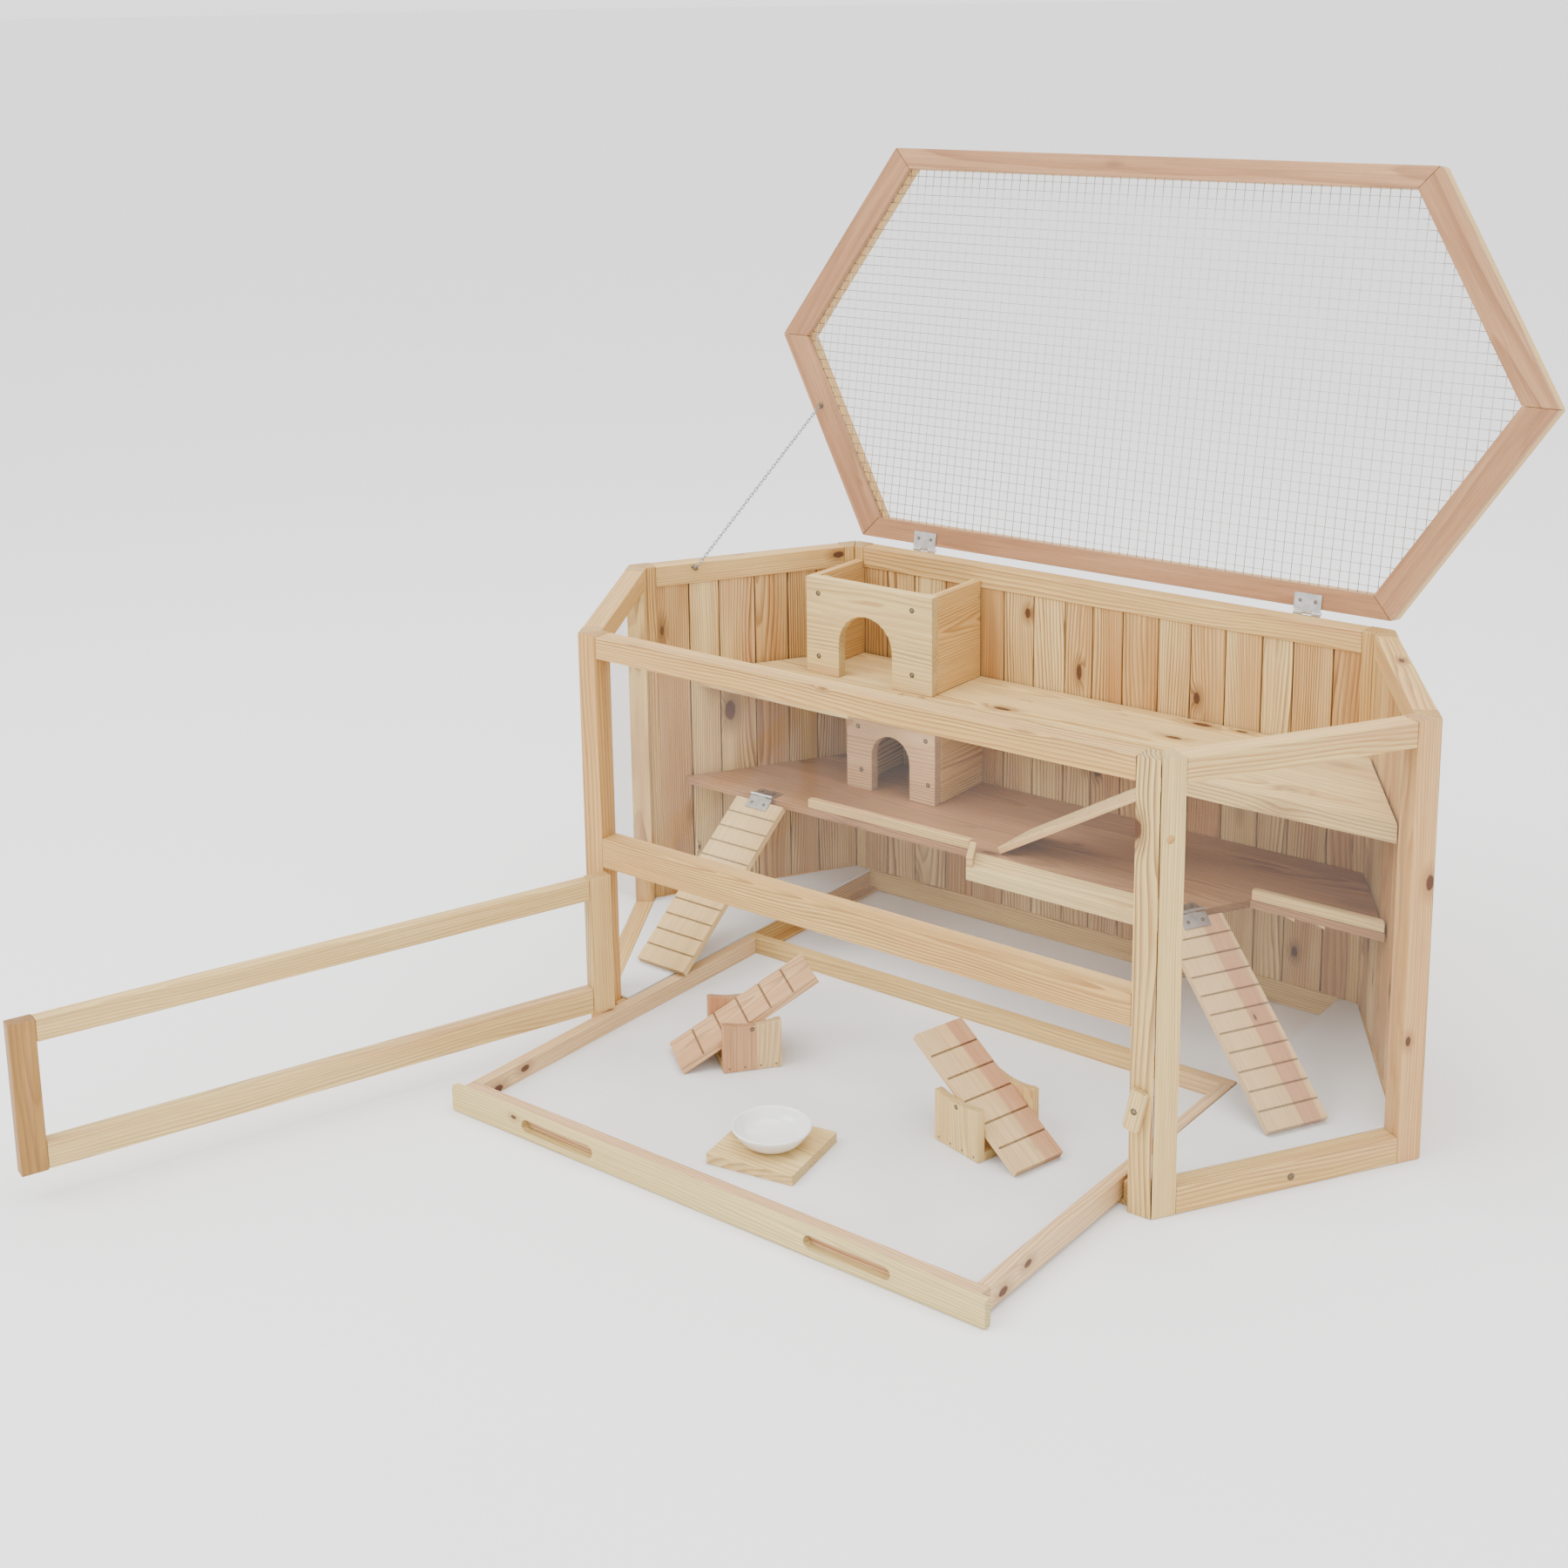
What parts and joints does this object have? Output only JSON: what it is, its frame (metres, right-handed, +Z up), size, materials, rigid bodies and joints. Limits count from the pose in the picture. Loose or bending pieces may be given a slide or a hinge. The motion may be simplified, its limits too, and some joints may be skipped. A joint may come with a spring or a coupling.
{
  "type": "hamster cage",
  "caption": "Hexagonal wooden small-animal cage with clear panels, mesh lid, shelves, ramps, hideouts, a lower door and a pull-out tray.",
  "frame": {"origin": "on the floor, under the middle of the back wall's bottom rail (the middle of that rail's underside)", "axes": "+X to the right as seen from the front, +Y to the back, +Z up; -Y is the front, where the tray comes out"},
  "size_m": [1.1785, 1.3959, 1.0568],
  "materials": {
    "pine": "planed, bare",
    "pale_pine": "planed, bare",
    "plywood": "sanded, bare",
    "clear_sheet": "clear, polished",
    "zinc": "zinc plated",
    "white_sheet": "smooth, satin",
    "glaze": "white glaze"
  },
  "bodies": {
    "cage": {"front_stile_left": "pine", "front_stile_right": "pine", "front_top_rail": "pine", "front_middle_rail": "pine", "front_pane": "clear_sheet", "left_front_frame": "pine", "left_front_pane": "clear_sheet", "right_front_frame": "pine", "right_front_pane": "clear_sheet", "left_rear_frame": "pine", "left_rear_planks": "pine", "right_rear_frame": "pine", "right_rear_planks": "pine", "back_frame": "pine", "back_planks": "pine", "left_guide": "pine", "right_guide": "pine", "left_floor": "white_sheet", "right_floor": "white_sheet", "upper_shelf": "pine", "mid_shelf": "pale_pine", "mid_shelf_front_board": "pale_pine", "mid_shelf_lip_left": "pale_pine", "mid_shelf_lip_right": "pale_pine", "mid_shelf_end_lip": "pale_pine", "upper_house_front": "pale_pine", "upper_house_left_wall": "pale_pine", "upper_house_right_wall": "pale_pine", "lower_house_front": "pale_pine", "lower_house_left_wall": "pale_pine", "lower_house_right_wall": "pale_pine", "upper_ramp": "pale_pine", "left_ramp_shelf_leaf": "zinc", "right_ramp_shelf_leaf": "zinc", "lid_hinge_left_fixed": "zinc", "lid_hinge_right_fixed": "zinc", "door_hinge_fixed": "zinc", "lid_chain": "zinc"},
    "lid": {"lid_frame": "pine", "lid_mesh": "zinc", "lid_panel": "plywood", "lid_hinge_left_moving": "zinc", "lid_hinge_right_moving": "zinc"},
    "door": {"door_frame": "pine", "door_pane": "clear_sheet", "door_hinge_moving": "zinc"},
    "turn_button": {"turn_button": "pale_pine"},
    "left_ramp": {"left_ramp": "pale_pine", "left_ramp_leaf": "zinc"},
    "right_ramp": {"right_ramp": "pale_pine", "right_ramp_leaf": "zinc"},
    "tray": {"tray_front_board": "pale_pine", "tray_rails": "pale_pine", "tray_floor": "white_sheet", "seesaw_a_stand": "pale_pine", "seesaw_b_stand": "pale_pine", "bowl_board": "pale_pine", "food_bowl": "glaze"},
    "seesaw_a_plank": {"seesaw_a_plank": "pale_pine"},
    "seesaw_b_plank": {"seesaw_b_plank": "pale_pine"}
  },
  "joints": [
    {"name": "lid_hinge", "type": "hinge", "parent": "cage", "child": "lid", "pos_m": [0, 0.016, 0.5125], "axis": [1, 0, 0], "range_deg": [0, 99], "deforming": ["lid_chain"]},
    {"name": "tray_slide", "type": "slide", "parent": "cage", "child": "tray", "axis": [0, 1, 0], "range_m": [0, 0.272]},
    {"name": "door_hinge", "type": "hinge", "parent": "cage", "child": "door", "pos_m": [-0.3685, -0.569, 0.122], "axis": [0, 0, 1], "range_deg": [0, 109]},
    {"name": "turn_button_pivot", "type": "hinge", "parent": "cage", "child": "turn_button", "pos_m": [0.3815, -0.5712, 0.123], "axis": [0, 1, 0], "range_deg": [0, 78]},
    {"name": "left_ramp_hinge", "type": "hinge", "parent": "cage", "child": "left_ramp", "pos_m": [-0.38, -0.2355, 0.2065], "axis": [-1, 0, 0], "range_deg": [0, 9]},
    {"name": "right_ramp_hinge", "type": "hinge", "parent": "cage", "child": "right_ramp", "pos_m": [0.272, -0.246, 0.2065], "axis": [-0.4782, -0.8782, 0], "range_deg": [0, 9]},
    {"name": "seesaw_a_pivot", "type": "hinge", "parent": "tray", "child": "seesaw_a_plank", "pos_m": [-0.172, -0.5385, 0.0628], "axis": [-0.788, 0.6157, 0], "range_deg": [0, 60]},
    {"name": "seesaw_b_pivot", "type": "hinge", "parent": "tray", "child": "seesaw_b_plank", "pos_m": [0.1765, -0.5375, 0.0628], "axis": [-0.2521, -0.9677, 0], "range_deg": [0, 60]}
  ],
  "couplings": [
    {"joint": "door_hinge", "follows": "tray_slide", "rad_per_m": 6.9941}
  ]
}
